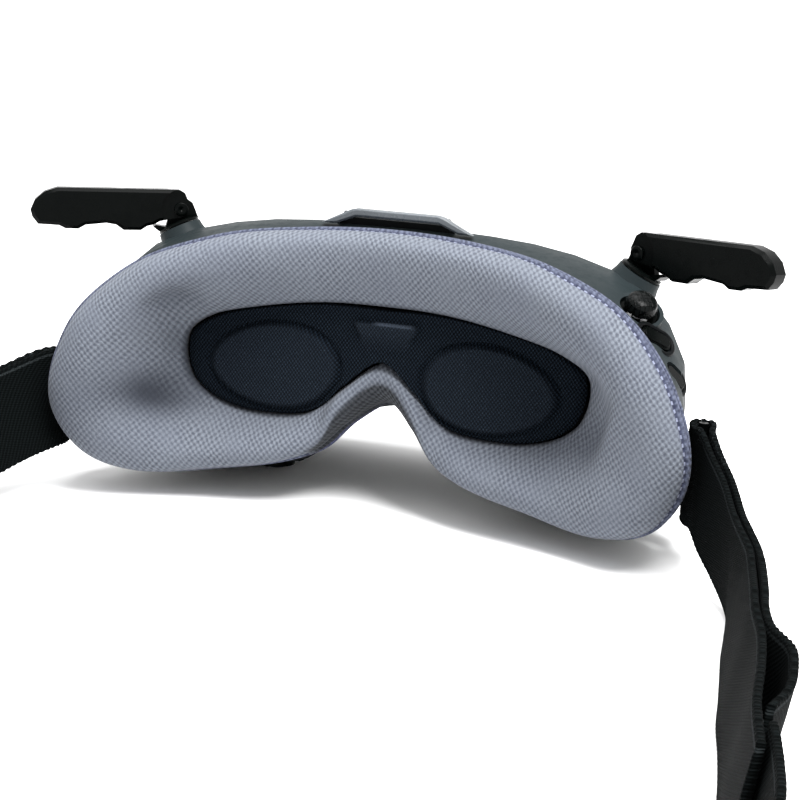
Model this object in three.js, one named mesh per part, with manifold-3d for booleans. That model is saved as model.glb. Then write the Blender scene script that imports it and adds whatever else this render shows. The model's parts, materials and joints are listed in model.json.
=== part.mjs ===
// Video goggles for flying a small aircraft, as an assembly of separate pieces.
// Millimetres, +Z up, +Y ahead of the wearer, +X to the wearer's right.
// The origin is on the surface that the goggles stand on, under the middle of their box.
import * as THREE from "three";
import { mergeVertices } from "three/addons/utils/BufferGeometryUtils.js";
import Module from "manifold-3d";

const wasm = await Module();
wasm.setup();

// ---- driving dimensions -------------------------------------------------------------
const EYE_HEIGHT = 36.5; // eye line above the surface
const EYE_Y = 74.7; // lens cover's plane ahead of the origin
const FRONT_Y = 82; // foremost point of the visor, from the lens cover's plane
const STRAP_BACK_Y = -229.6; // rearmost face of the head strap
const FLOOR_Z = -EYE_HEIGHT;
const GAP = 0.3; // clearance between pieces that touch
const WALL = 2.2; // housing wall

const EYE_X = 30; // half of the eye spacing at rest
const IPD_IN = 2; // travel of a lens carriage towards the nose
const IPD_OUT = 6; // and away from it
const FOCUS = 3; // focus travel each way
const BARREL_BACK = 6.5; // rear end of a lens barrel at the middle of its travel
const BARREL_R = 12;
const BARREL_BORE = 10.9;
const CARRIAGE_R = 14.2;
const CARRIAGE_BACK = 22;
const CARRIAGE_FRONT = 40;
const ROD_R = 1.4;
const ROD_Y = 31;
const ROD_Z = 20.5;
const KNOB_X = 42.2;
const KNOB_Y = 36.5;
const KNOB_R = 6.2;

const FRAME_BACK = 7; // rear face of the frame that the lenses look through
const FRAME_FRONT = 9;
const WINDOW_HALF = new THREE.Vector2(17.4, 13.3); // half width and height of its eye windows
const SCREW_POSTS = [
  [50, 19],
  [54, -18],
];

const SWIVEL = new THREE.Vector3(63.35, 9.65, 33.25); // centre of the antenna turret's rim
const SWIVEL_AXIS = new THREE.Vector3(0.47, 0, 0.883).normalize();
const FOLD = new THREE.Vector3(63.5, 10, 38.4); // antenna fold pin
const FOLD_OUT = new THREE.Vector3(0.87, -0.49, 0).normalize(); // along the antenna blade
const BLADE_HALF = 3; // half of the blade's thickness

const STRAP_WIDTH = 25;
const WEBBING = 1.6;
const ANCHOR_BAR = new THREE.Vector2(83.9, -1); // strap bar, in plan
const ANCHOR_Z = -12.7;

// ---- small helpers ------------------------------------------------------------------
const v3 = (x, y, z) => new THREE.Vector3(x, y, z);
const lerp = THREE.MathUtils.lerp;

/** The manifold-3d solid of a closed geometry. */
function solid(geometry) {
  const bare = geometry.clone();
  bare.deleteAttribute("normal");
  bare.deleteAttribute("uv");
  const merged = mergeVertices(bare, 1e-4);
  return new wasm.Manifold(
    new wasm.Mesh({
      numProp: 3,
      vertProperties: new Float32Array(merged.attributes.position.array),
      triVerts: new Uint32Array(merged.index.array),
    }),
  );
}

/** The three.js geometry of a manifold-3d solid. */
function geometryOf(manifold) {
  const mesh = manifold.getMesh();
  const geometry = new THREE.BufferGeometry();
  geometry.setAttribute("position", new THREE.BufferAttribute(mesh.vertProperties, 3));
  geometry.setIndex(new THREE.BufferAttribute(mesh.triVerts, 1));
  geometry.computeVertexNormals();
  return geometry;
}

const join = (first, ...others) => others.reduce((sum, one) => sum.add(one), first);
const cut = (first, ...others) => others.reduce((rest, one) => rest.subtract(one), first);

/** Triangles between rings of equal length; caps are points, or the rings close on themselves. */
function loft(rings, { startCap, endCap, ringsClose = false } = {}) {
  const points = rings.flat();
  const count = rings[0].length;
  const index = [];
  const last = ringsClose ? rings.length : rings.length - 1;
  for (let r = 0; r < last; r++) {
    const here = r * count;
    const next = ((r + 1) % rings.length) * count;
    for (let i = 0; i < count; i++) {
      const j = (i + 1) % count;
      index.push(here + i, here + j, next + j, here + i, next + j, next + i);
    }
  }
  const cap = (point, start, flip) => {
    const centre = points.push(point) - 1;
    for (let i = 0; i < count; i++) {
      const j = (i + 1) % count;
      index.push(...(flip ? [centre, start + j, start + i] : [centre, start + i, start + j]));
    }
  };
  if (startCap) cap(startCap, 0, true);
  if (endCap) cap(endCap, (rings.length - 1) * count, false);
  const geometry = new THREE.BufferGeometry().setFromPoints(points);
  geometry.setIndex(index);
  geometry.computeVertexNormals();
  return geometry;
}

/** Turns a geometry's faces the right way out. */
function outward(geometry) {
  const made = solid(geometry);
  if (made.volume() > 0) return made;
  const flipped = geometry.clone();
  const faces = flipped.index.array;
  for (let i = 0; i < faces.length; i += 3) {
    [faces[i + 1], faces[i + 2]] = [faces[i + 2], faces[i + 1]];
  }
  return solid(flipped);
}

function box(x0, x1, y0, y1, z0, z1) {
  const geometry = new THREE.BoxGeometry(x1 - x0, y1 - y0, z1 - z0);
  return solid(geometry.translate((x0 + x1) / 2, (y0 + y1) / 2, (z0 + z1) / 2));
}

/** A cylinder from point a to point b. */
function rod(a, b, radius, sides = 24, endRadius = radius) {
  const geometry = new THREE.CylinderGeometry(endRadius, radius, a.distanceTo(b), sides);
  const turn = new THREE.Quaternion().setFromUnitVectors(v3(0, 1, 0), b.clone().sub(a).normalize());
  geometry.applyQuaternion(turn);
  return solid(geometry.translate((a.x + b.x) / 2, (a.y + b.y) / 2, (a.z + b.z) / 2));
}

/** A turned body: profile of [radius, height] pairs about an axis through a point. */
function turned(profile, origin, axis, sides = 20) {
  const geometry = new THREE.LatheGeometry(profile.map(([r, h]) => new THREE.Vector2(r, h)), sides);
  const turn = new THREE.Quaternion().setFromUnitVectors(v3(0, 1, 0), axis);
  return outward(geometry.applyQuaternion(turn)).translate(origin.toArray());
}

/** A flat outline of [x, z] points, extruded from y0 to y1. */
function plateY(points, y0, y1, bevel = 0) {
  const shape = new THREE.Shape(points.map(([x, z]) => new THREE.Vector2(x, z)));
  const geometry = new THREE.ExtrudeGeometry(shape, {
    depth: y1 - y0 - 2 * bevel,
    bevelEnabled: bevel > 0,
    bevelThickness: bevel,
    bevelSize: bevel,
    bevelOffset: -bevel,
    bevelSegments: 1,
  });
  geometry.rotateX(Math.PI / 2).translate(0, y1 - bevel, 0);
  return solid(geometry);
}

/** Points of an ellipse, as [x, z] pairs. */
function ellipse(cx, cz, rx, rz, sides = 36) {
  return Array.from({ length: sides }, (_, i) => {
    const angle = (2 * Math.PI * i) / sides;
    return [cx + rx * Math.cos(angle), cz + rz * Math.sin(angle)];
  });
}

// ---- the face outline ---------------------------------------------------------------
// Fourteen stations from the top of the forehead, down the wearer's right side, to the nose.
// Each row: seam x, z, y; crest of the cushion x, z, y; opening x, z, y.
const FACE = [
  [0, 38.9, 3.2, 0, 34, -9, 0, 19.2, -1],
  [24, 37.6, 1.2, 22.6, 33, -12, 17, 18.7, -1.5],
  [45, 34.3, -7.5, 41.5, 29.6, -18.5, 35, 15.8, -3],
  [64.5, 25.6, -14.5, 58.5, 22, -25, 47.5, 12.2, -3],
  [77.6, 11.5, -21.3, 70.8, 8, -29.5, 54.4, 7, -1],
  [83.4, -5, -21.8, 75.5, -6, -30, 55.2, 1, -1],
  [82.3, -16.3, -20.3, 74.2, -15, -28.5, 53, -5.5, -1],
  [76.2, -25.3, -16.5, 68.6, -22.2, -25.5, 48, -9.8, 0],
  [63.5, -30.7, -9, 58.5, -26.6, -19.5, 40, -12.5, 0.6],
  [42, -28.7, -2, 39.5, -23.8, -13, 30, -13, 0.6],
  [22.5, -24.3, 0.5, 23, -20.8, -8.5, 21.4, -12, 0],
  [16, -21.6, 4.5, 15.8, -17.6, -4.8, 16.6, -9.8, -0.6],
  [8.9, -14, 8.8, 10.4, -7, -4.4, 10.6, -3.8, 1.6],
  [0, -9, 14, 0, 0.9, -0.4, 0, 3.6, 2.4],
];

/** A closed smooth ring through a half outline of points and its mirror image. */
function symmetricRing(half, perSpan) {
  const mirrored = half.slice(1, -1).reverse().map((p) => v3(-p.x, p.y, p.z));
  const curve = new THREE.CatmullRomCurve3([...half, ...mirrored], true, "centripetal");
  const spans = 2 * (half.length - 1);
  const count = spans * perSpan;
  return Array.from({ length: count }, (_, i) => curve.getPoint(i / count));
}

const faceRing = (column) => (perSpan) =>
  symmetricRing(FACE.map((row) => v3(row[column], row[column + 2], row[column + 1])), perSpan);
const seamRing = faceRing(0);
const crestRing = faceRing(3);
const openingRing = faceRing(6);

/** Moves a ring inwards in X and Z by a distance, keeping its Y. */
function insetRing(ring, distance) {
  const count = ring.length;
  return ring.map((point, i) => {
    const before = ring[(i + count - 1) % count];
    const after = ring[(i + 1) % count];
    const along = new THREE.Vector2(after.x - before.x, after.z - before.z).normalize();
    return v3(point.x + along.y * distance, point.y, point.z - along.x * distance);
  });
}

const flatRing = (ring, y) => ring.map((p) => v3(p.x, y, p.z));
const scaleRing = (ring, factor, y, centreZ) =>
  ring.map((p) => v3(p.x * factor, y, centreZ + (p.z - centreZ) * factor));

// ---- housing ------------------------------------------------------------------------
// Half outline of the housing's shoulder ahead of the seam, as [x, z, y].
const SHOULDER = [
  [0, 39.5, 9.5], [24, 39, 9.5], [46, 36.5, 8.5], [66.4, 29.2, 2], [78, 13.4, -3], [79.2, -5, -5],
  [79.4, -16, -5], [74.8, -25.5, -3], [64, -31.8, 0], [42.5, -29.4, 3], [22, -24.6, 5.5],
  [17, -21.8, 8], [10.4, -13.6, 11.5], [0, -9.2, 15],
];
// Half outlines of the housing as [x, z], from top centre to the nose channel, one per depth.
const BODY = {
  17: [
    [0, 38.6], [24, 37.9], [46, 34.9], [63.6, 27.6], [75.2, 11.5], [77.4, -5], [78.4, -18],
    [75, -28], [63.5, -34.2], [43, -30.8], [24, -25.6], [18, -22.6], [11.2, -14.8], [0, -10],
  ],
  40: [
    [0, 36], [25, 35], [45, 31.8], [61.5, 25.4], [71.6, 10.6], [74.6, -4], [76, -18],
    [74.4, -31], [66, -39], [48, -39], [37, -38], [29, -30], [16, -18], [0, -14],
  ],
  62: [
    [0, 33.4], [25, 32.4], [44, 29], [58, 22], [66.4, 10.6], [70.4, -3], [71.4, -15],
    [68.5, -27], [60, -33.8], [49, -34.6], [41, -32.6], [33, -27], [19, -20.8], [0, -18.5],
  ],
  75: [
    [0, 29], [24, 28.4], [43, 25.6], [55.4, 18.6], [62.4, 8.6], [65.2, -3], [65, -14],
    [61, -24], [54, -29.4], [45, -29.8], [38, -28.4], [31, -24.6], [18, -20.6], [0, -19.6],
  ],
};
const RING_PER_SPAN = 2;
const RINGS_PER_DEPTH = 2;
const SEAM_INSET = 0.9;
const SEAM_FORWARD = 0.5;

/** Outer rings of the housing, from the seam forwards. */
function housingRings(inset) {
  const seam = seamRing(RING_PER_SPAN).map((p) => v3(p.x, p.y + SEAM_FORWARD, p.z));
  const shoulder = symmetricRing(SHOULDER.map(([x, z, y]) => v3(x, y, z)), RING_PER_SPAN);
  const sections = [insetRing(seam, SEAM_INSET), shoulder];
  for (const [depth, outline] of Object.entries(BODY)) {
    const half = outline.map(([x, z]) => v3(x, Number(depth), z));
    sections.push(symmetricRing(half, RING_PER_SPAN));
  }
  const count = sections[0].length;
  const curves = Array.from(
    { length: count },
    (_, i) => new THREE.CatmullRomCurve3(sections.map((ring) => ring[i]), false, "centripetal"),
  );
  const steps = (sections.length - 1) * RINGS_PER_DEPTH;
  const rings = [];
  for (let step = 0; step <= steps; step++) {
    const ring = curves.map((curve) => curve.getPoint(step / steps));
    ring.forEach((p) => (p.z = Math.max(p.z, FLOOR_Z)));
    rings.push(inset ? insetRing(ring, inset) : ring);
  }
  return rings;
}

/** The housing's outer skin as a solid block. */
function housingBlock() {
  const rings = housingRings(0);
  return outward(loft(rings, { startCap: v3(0, 17, 10), endCap: v3(0, 75, 5) }));
}

/** The hollow inside the housing, running out past its rear edge. */
function housingHollow() {
  const rings = housingRings(WALL);
  const behind = rings[0].map((p) => v3(p.x, p.y - 14, p.z));
  const front = flatRing(rings[rings.length - 1], 75 - WALL);
  const inner = [behind, ...rings.slice(0, -1), front];
  return outward(loft(inner, { startCap: v3(0, -20, 10), endCap: v3(0, 75 - WALL, 5) }));
}

const control = (x, y, z, nx, ny, nz) => ({ point: v3(x, y, z), normal: v3(nx, ny, nz).normalize() });
const STICK = control(66.1, -7.3, 26.2, 0.29, -0.5, 0.82);
const BACK_BUTTON = control(71.3, -12, 20.4, 0.66, -0.42, 0.62);
const SHORTCUT_BUTTON = control(76.4, -12, 11.5, 0.86, -0.3, 0.4);
const BUTTON_LONG = v3(0.6, 0.6, -0.5); // the oval buttons' long direction
const BUTTON_R = 2.2;
const BUTTON_HALF = 2.2;
const BUTTON_TOP = 0.8;
const BUTTON_DEPTH = 2.6;

/** An oval bar standing along a control's normal. */
function ovalBar({ point, normal }, radius, half, low, high) {
  const across = BUTTON_LONG.clone().projectOnPlane(normal).normalize();
  const side = normal.clone().cross(across);
  const sides = 10;
  const ring = (h) =>
    Array.from({ length: 2 * sides }, (_, i) => {
      const angle = (Math.PI * (i + 0.5)) / sides;
      const end = Math.cos(angle) > 0 ? half : -half;
      return point
        .clone()
        .addScaledVector(across, end + radius * Math.cos(angle))
        .addScaledVector(side, radius * Math.sin(angle))
        .addScaledVector(normal, h);
    });
  const centre = (h) => point.clone().addScaledVector(normal, h);
  return outward(loft([ring(low), ring(high)], { startCap: centre(low), endCap: centre(high) }));
}

/** A rod along the control stick's axis between two heights over the skin. */
function stickRod(low, high, radius, sides = 24, topRadius = radius) {
  const at = (h) => STICK.point.clone().addScaledVector(STICK.normal, h);
  return rod(at(low), at(high), radius, sides, topRadius);
}

const TURRET = [
  [0, 0], [5.9, 0], [6.1, -1.4], [6.7, -3.4], [7.8, -6], [9.4, -9], [0, -9],
];

function turret(mirror) {
  const made = turned(TURRET, SWIVEL, SWIVEL_AXIS);
  return mirror ? made.mirror([1, 0, 0]) : made;
}

const both = (build) => [1, -1].map(build);

/** Screw post that runs from the lens frame to the front wall. */
const post = (x, z) => rod(v3(x, FRAME_FRONT + GAP, z), v3(x, 74, z), 2.6, 16);
const postHole = (x, z) => rod(v3(x, FRAME_BACK, z), v3(x, 20, z), 1.4, 12);
const posts = both((side) => SCREW_POSTS.map(([x, z]) => [side * x, z])).flat();

/** Recess in the floor round a focus knob, and the slot that its stem slides in. */
const knobRecess = (side, grow) => {
  const ends = [KNOB_X - 9 - grow, KNOB_X + 13 + grow].map((x) => side * x);
  const reach = KNOB_R + 2.6 + grow;
  return box(Math.min(...ends), Math.max(...ends), KNOB_Y - reach, KNOB_Y + reach, -40, -32.5 + grow);
};
const knobSlot = (side) => {
  const ends = [KNOB_X - IPD_IN - 2.5, KNOB_X + IPD_OUT + 2.5].map((x) => side * x);
  return box(Math.min(...ends), Math.max(...ends), KNOB_Y - 2.5, KNOB_Y + 2.5, -34, -28);
};

function frontShell() {
  const block = housingBlock();
  const hollow = housingHollow();
  const skin = join(block, turret(false), turret(true), stickRod(-7, 0, 6.2));
  const inside = cut(
    hollow,
    ...both((side) => knobRecess(side, 1.5)),
    ...posts.map(([x, z]) => post(x, z)),
    stickRod(-5, 0, 6.2),
    turned([[0, 0], [5.9, 0], [8.6, -4], [0, -4]], SWIVEL, SWIVEL_AXIS),
  );
  return cut(
    skin,
    inside,
    ...both((side) => knobRecess(side, 0)),
    ...both(knobSlot),
    ...posts.map(([x, z]) => postHole(x, z)),
    stickRod(-10, 7, 5.2),
    ovalBar(BACK_BUTTON, BUTTON_R + 0.35, BUTTON_HALF, -6, 6),
    ovalBar(SHORTCUT_BUTTON, BUTTON_R + 0.35, BUTTON_HALF, -6, 6),
    box(-11, 11, 10, 16, 30, 42),
    box(-90, -70, 40, 49.6, -22.1, -17.9),
  );
}

function frontVisor() {
  const edge = symmetricRing(BODY[75].map(([x, z]) => v3(x, 75, z)), RING_PER_SPAN);
  const rings = [
    scaleRing(edge, 0.97, 75 + GAP, 2),
    scaleRing(edge, 0.97, 77, 2),
    scaleRing(edge, 0.93, 78.8, 2),
    scaleRing(edge, 0.7, 80.9, 2),
    scaleRing(edge, 0.35, 81.8, 2),
  ];
  return outward(loft(rings, { startCap: v3(0, 75 + GAP, 5), endCap: v3(0, FRONT_Y, 5) }));
}

// ---- face side ----------------------------------------------------------------------
// The cushion's section, as shares of the way from seam to crest and from crest to opening:
// the first of each pair runs across the face, the second towards the wearer.
const RISE = [[0, 0], [0.08, 0.36], [0.24, 0.68], [0.55, 0.93], [1, 1]];
const FALL = [[0.26, 0.06], [0.52, 0.26], [0.76, 0.58], [1, 1]];
const CUSHION_HEM = 3; // thickness at the opening

function faceFoam() {
  const perSpan = 3;
  const crest = crestRing(perSpan);
  const opening = openingRing(perSpan);
  const mix = (a, b, across, toward) =>
    v3(lerp(a.x, b.x, across), lerp(a.y, b.y, toward), lerp(a.z, b.z, across));
  const rings = seamRing(perSpan).map((outer, i) => {
    const front = [
      ...RISE.map(([across, toward]) => mix(outer, crest[i], across, toward)),
      ...FALL.map(([across, toward]) => mix(crest[i], opening[i], across, toward)),
    ];
    const hem = opening[i].clone();
    hem.y += CUSHION_HEM;
    const back = mix(outer, opening[i], 0.2, 0);
    return [...front, hem, back];
  });
  return outward(loft(rings, { ringsClose: true }));
}

/** Outline between opening and seam, one share per station. */
function blendedOutline(shares, perSpan) {
  const half = FACE.map(([seamX, seamZ, , , , , openX, openZ], i) =>
    v3(lerp(openX, seamX, shares[i]), 0, lerp(openZ, seamZ, shares[i])));
  return symmetricRing(half, perSpan);
}

/** A plate between two rings moved to flat planes. */
function ringPlate(ring, y0, y1, centreZ) {
  const rings = [flatRing(ring, y0), flatRing(ring, y1)];
  return outward(loft(rings, { startCap: v3(0, y0, centreZ), endCap: v3(0, y1, centreZ) }));
}

function rearFrame() {
  const shares = [0.36, 0.44, 0.55, 0.6, 0.5, 0.45, 0.45, 0.45, 0.42, 0.36, 0.2, 0, -0.1, -0.1];
  const plate = ringPlate(blendedOutline(shares, 2), FRAME_BACK, FRAME_FRONT, 14);
  const windows = both((side) => {
    const centre = side * (EYE_X + (IPD_OUT - IPD_IN) / 2);
    return plateY(ellipse(centre, 0, WINDOW_HALF.x, WINDOW_HALF.y), FRAME_BACK - 1, FRAME_FRONT + 1);
  });
  return cut(plate, ...windows, ...posts.map(([x, z]) => postHole(x, z)));
}

const COVER_BACK = -1.4; // face that looks at the wearer
const COVER_FRONT = 2;
const PAD_RISE = 1.5;

/** An egg-shaped raised pad over one lens. */
function eyePad(side) {
  const pad = (rx, rz, y) =>
    ellipse(side * 29.6, 0, rx, rz, 32).map(([x, z]) => {
      const share = (x * side - 29.6) / rx;
      return v3(x, y, z * (1 - 0.1 * share) + 0.6 - 0.5 * share);
    });
  const rings = [
    pad(18, 11.4, COVER_BACK + 0.5),
    pad(18, 11.4, COVER_BACK - 0.4),
    pad(16.4, 9.9, COVER_BACK - PAD_RISE),
  ];
  const centre = side * 29.6;
  return outward(
    loft(rings, {
      startCap: v3(centre, COVER_BACK + 0.5, 0),
      endCap: v3(centre, COVER_BACK - PAD_RISE - 0.2, 0),
    }),
  );
}

function lensCover() {
  const edge = insetRing(openingRing(3), 0.7);
  const plate = ringPlate(edge, COVER_BACK, COVER_FRONT, 10);
  const bridge = plateY(
    [[-9.5, 14.6], [9.5, 14.6], [6.4, 7.6], [-6.4, 7.6]],
    COVER_BACK - 1.5,
    COVER_BACK + 0.5,
    0.6,
  );
  return join(plate, eyePad(1), eyePad(-1), bridge);
}

const wearSensor = () => box(-5, 5, FRAME_BACK - 1.6, FRAME_BACK - GAP, 8.5, 13.5);

/** Machine screw into a housing post, with its head on the lens frame. */
function frameScrew(x, z) {
  return join(
    rod(v3(x, FRAME_BACK - 1.6, z), v3(x, FRAME_BACK - GAP, z), 2.3, 16),
    rod(v3(x, FRAME_BACK - GAP - 0.1, z), v3(x, 18, z), 1.05, 12),
  );
}

// ---- top guard and air outlet -------------------------------------------------------
function topGuard() {
  const outer = [[-20.6, 39], [-12.6, 43], [-11, 43.4], [11, 43.4], [12.6, 43], [20.6, 39]];
  const inner = [[16.6, 39], [11.2, 41.2], [-11.2, 41.2], [-16.6, 39]];
  return plateY([...outer, ...inner], 4.2, 7, 0.5);
}

/** Louvred strip over the air outlet. */
function ventGrille() {
  const strip = plateY([[-12.5, 40], [12.5, 40], [11, 41.8], [-11, 41.8]], 8.6, 17.6);
  const slots = [0, 1, 2].map((row) => box(-9.5, 9.5, 10.2 + 2.2 * row, 11.2 + 2.2 * row, 38, 43));
  return cut(strip, ...slots);
}

// ---- antennas -----------------------------------------------------------------------
/** Places a body drawn in the fold plane: x along the blade, y up, z towards the wearer. */
function inFoldPlane(geometry) {
  const towards = FOLD_OUT.clone().cross(v3(0, 0, 1));
  const matrix = new THREE.Matrix4().makeBasis(FOLD_OUT, v3(0, 0, 1), towards).setPosition(FOLD);
  return solid(geometry.applyMatrix4(matrix));
}

function foldPlate(points, near, far, bevel = 0, tilt = 0) {
  const shape = new THREE.Shape(points.map(([u, z]) => new THREE.Vector2(u, z)));
  const geometry = new THREE.ExtrudeGeometry(shape, {
    depth: near - far - 2 * bevel,
    bevelEnabled: bevel > 0,
    bevelThickness: bevel,
    bevelSize: bevel,
    bevelOffset: -bevel,
    bevelSegments: 1,
  });
  return inFoldPlane(geometry.translate(0, 0, far + bevel).rotateZ(tilt));
}

const foldRod = (radius, near, far, sides = 24) =>
  inFoldPlane(new THREE.CylinderGeometry(radius, radius, near - far, sides)
    .rotateX(Math.PI / 2)
    .translate(0, 0, (near + far) / 2));

const LAP_R = 6.3; // the blade is half as thick inside this radius about the pin
const PIN_R = 1.1;
const BLADE = [
  [-2.4, 1.2], [-1, 4.4], [0.6, 5.3], [33, 4.8], [36.4, 3.6], [38.8, 1.4], [40, -1.4],
  [39.5, -3.2], [38, -5.1], [32.5, -5.3], [30.8, -6.1], [27.4, -6.1], [25.6, -5], [20, -4.3],
  [17.4, -4.7], [15.4, -6.1], [10.8, -6], [9, -4.8], [7.4, -4.4], [5.6, -3.4], [3.4, -2.9],
  [0, -2.4], [-2, -1.2],
];

const TILT_RIGHT = THREE.MathUtils.degToRad(1.7); // how far each blade stands off its level
const TILT_LEFT = THREE.MathUtils.degToRad(-1);

/** The antenna blade, with a slot for its board and a half-thick root on the pin. */
function antennaBlade(tilt) {
  return cut(
    foldPlate(BLADE, BLADE_HALF, -BLADE_HALF, 0.9, tilt),
    foldRod(LAP_R, 0.05, -4),
    foldRod(LAP_R - 0.9, 4, 2.2),
    foldRod(PIN_R + GAP, 5, -5, 16),
    foldPlate([[5.4, -2.6], [36, -2.6], [36, 2.8], [5.4, 2.8]], 0.7, -0.7, 0, tilt),
  );
}

const antennaBoard = (tilt) =>
  foldPlate([[7.4, -2.2], [35.5, -2.2], [35.5, 2.4], [7.4, 2.4]], 0.35, -0.35, 0, tilt);

/** Collar that turns on the turret, with the ear that holds the fold pin. */
function antennaKnuckle() {
  const collar = turned(
    [[0, GAP], [5.7, GAP], [5.7, 0.8], [5.1, 1.2], [0, 1.2]],
    SWIVEL,
    SWIVEL_AXIS,
  );
  const spigot = turned([[0, -3], [2.6, -3], [2.6, 1], [0, 1]], SWIVEL, SWIVEL_AXIS, 20);
  const ear = foldPlate(
    [[-5, -2.2], [-3.3, 1.7], [-1.6, 2.8], [1, 2.4], [3, -1.6], [4, -5.8], [-3.8, -2.8]],
    -0.25,
    -2.8,
    0.3,
  );
  const toe = foldPlate([[3.6, -5.9], [5.6, -6.4], [7.3, -5.2], [6.6, -4.6], [3.8, -5]], 1.6, -2.8);
  return cut(join(collar, spigot, ear, toe), foldRod(PIN_R + GAP, 5, -5, 16));
}

const hingePin = () => foldRod(PIN_R, 2.8, -2.6, 16);

/** Socket in the turret for the knuckle's spigot. */
const turretSocket = (mirror) => {
  const hole = turned([[0, -3.6], [2.9, -3.6], [2.9, 1], [0, 1]], SWIVEL, SWIVEL_AXIS, 20);
  return mirror ? hole.mirror([1, 0, 0]) : hole;
};

// ---- controls -----------------------------------------------------------------------
const joystickSocket = () => cut(stickRod(-3.8, -0.6, 4.9), stickRod(-5, 1, 3.3));
const joystickGimbal = () => cut(stickRod(-3.4, -2.5, 2.9, 20), stickRod(-4, -2, 1.2, 12));
const joystickStem = () => stickRod(-2.2, 1.8, 1, 12);

/** Domed cap with a bore that slides on the stem. */
function joystickCap() {
  const dome = turned(
    [[0, 1.4], [4.1, 0.8], [4.2, 1.3], [3.8, 2.4], [3.7, 3], [3, 3.7], [1.6, 4.1], [0, 4.2]],
    STICK.point,
    STICK.normal,
    24,
  );
  return cut(dome, stickRod(1, 3, 1.3, 12));
}

const sideButton = (where) => join(
  ovalBar(where, BUTTON_R, BUTTON_HALF, -BUTTON_DEPTH, BUTTON_TOP - 0.5),
  ovalBar(where, BUTTON_R - 0.5, BUTTON_HALF, 0, BUTTON_TOP),
);

// ---- optics -------------------------------------------------------------------------
/** Holder for one eye's optics, with its bush on the guide rod and its arm to the knob. */
function lensCarriage() {
  const ring = rod(v3(EYE_X, CARRIAGE_BACK, 0), v3(EYE_X, CARRIAGE_FRONT, 0), CARRIAGE_R, 32);
  const bush = box(EYE_X - 6, EYE_X + 6, ROD_Y - 4, ROD_Y + 4, 10, 24);
  const arm = box(KNOB_X - 2.8, KNOB_X + 2.8, KNOB_Y - 3.4, KNOB_Y + 3.4, -26, -7);
  return cut(
    join(ring, bush, arm),
    rod(v3(EYE_X, 0, 0), v3(EYE_X, 60, 0), BARREL_R + GAP, 32),
    rod(v3(0, ROD_Y, ROD_Z), v3(60, ROD_Y, ROD_Z), ROD_R + GAP, 16),
    rod(v3(KNOB_X, KNOB_Y, -30), v3(KNOB_X, KNOB_Y, -19), 2.3, 16),
  );
}

const lensBarrel = () => cut(
  rod(v3(EYE_X, BARREL_BACK, 0), v3(EYE_X, CARRIAGE_FRONT - FOCUS - 1, 0), BARREL_R, 32),
  rod(v3(EYE_X, BARREL_BACK - 1, 0), v3(EYE_X, CARRIAGE_FRONT, 0), BARREL_BORE, 32),
);

const eyeLens = () => turned(
  [[0, 0], [10.6, 0], [10.6, 1.6], [8, 3], [4.5, 3.9], [0, 4.2]],
  v3(EYE_X, 12.6, 0),
  v3(0, -1, 0),
);

const displayModule = () => box(EYE_X - 11.8, EYE_X + 11.8, 40 + GAP, 43.4, -12, 12);

/** Round knob under the floor and the stem that drives the focus. */
const focusKnob = () => join(
  rod(v3(KNOB_X, KNOB_Y, FLOOR_Z + GAP), v3(KNOB_X, KNOB_Y, -33), KNOB_R, 24, KNOB_R - 0.4),
  rod(v3(KNOB_X, KNOB_Y, -33.2), v3(KNOB_X, KNOB_Y, -20), 2, 16),
);

const guideRod = () => rod(v3(-46.5, ROD_Y, ROD_Z), v3(46.5, ROD_Y, ROD_Z), ROD_R, 16);

// ---- electronics --------------------------------------------------------------------
const mainboard = () => box(-46, 46, 51, 52.6, -9, 27);

/** Finned cooler on the mainboard. */
function heatsink() {
  const fins = [0, 1, 2, 3, 4, 5, 6].map((i) => box(-19.5 + 6 * i, -17.5 + 6 * i, 54, 60, -6, 25));
  return join(box(-20, 20, 52.6 + GAP, 54.4, -6, 25), ...fins);
}

const FAN_Z = 10;

function fanFrame() {
  const well = rod(v3(0, 61.7, FAN_Z), v3(0, 70, FAN_Z), 13.4, 32);
  const axle = rod(v3(0, 61.2, FAN_Z), v3(0, 67, FAN_Z), 1.2, 12);
  const plate = cut(box(-15, 15, 61, 68.5, FAN_Z - 15, FAN_Z + 15), well);
  const ports = rod(v3(0, 60, FAN_Z), v3(0, 63, FAN_Z), 9, 24);
  const bar = box(-10, 10, 61, 61.7, FAN_Z - 2, FAN_Z + 2);
  return join(cut(plate, ports), bar, axle);
}

/** Hub and blades of the fan. */
function fanRotor() {
  const blades = 7;
  const hub = rod(v3(0, 62.2, FAN_Z), v3(0, 67.6, FAN_Z), 5, 20);
  const vanes = Array.from({ length: blades }, (_, i) => {
    const vane = new THREE.BoxGeometry(8.6, 1, 4.6).translate(8.2, 0, 0);
    vane.rotateX(0.6).rotateZ((2 * Math.PI * i) / blades).rotateX(Math.PI / 2);
    return solid(vane.translate(0, 64.9, FAN_Z));
  });
  return cut(join(hub, ...vanes), rod(v3(0, 60, FAN_Z), v3(0, 67.1, FAN_Z), 1.5, 12));
}

/** Metal socket for the power cable, on the wearer's left. */
const powerPort = () => cut(
  box(-78.2, -71.5, 40 + GAP, 49.6 - GAP, -21.8, -18.2),
  box(-79, -72.5, 41, 48.9, -21.2, -18.8),
);

// ---- head strap ---------------------------------------------------------------------
const LOW = FLOOR_Z + STRAP_WIDTH / 2; // band centre where it stands on the surface

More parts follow.
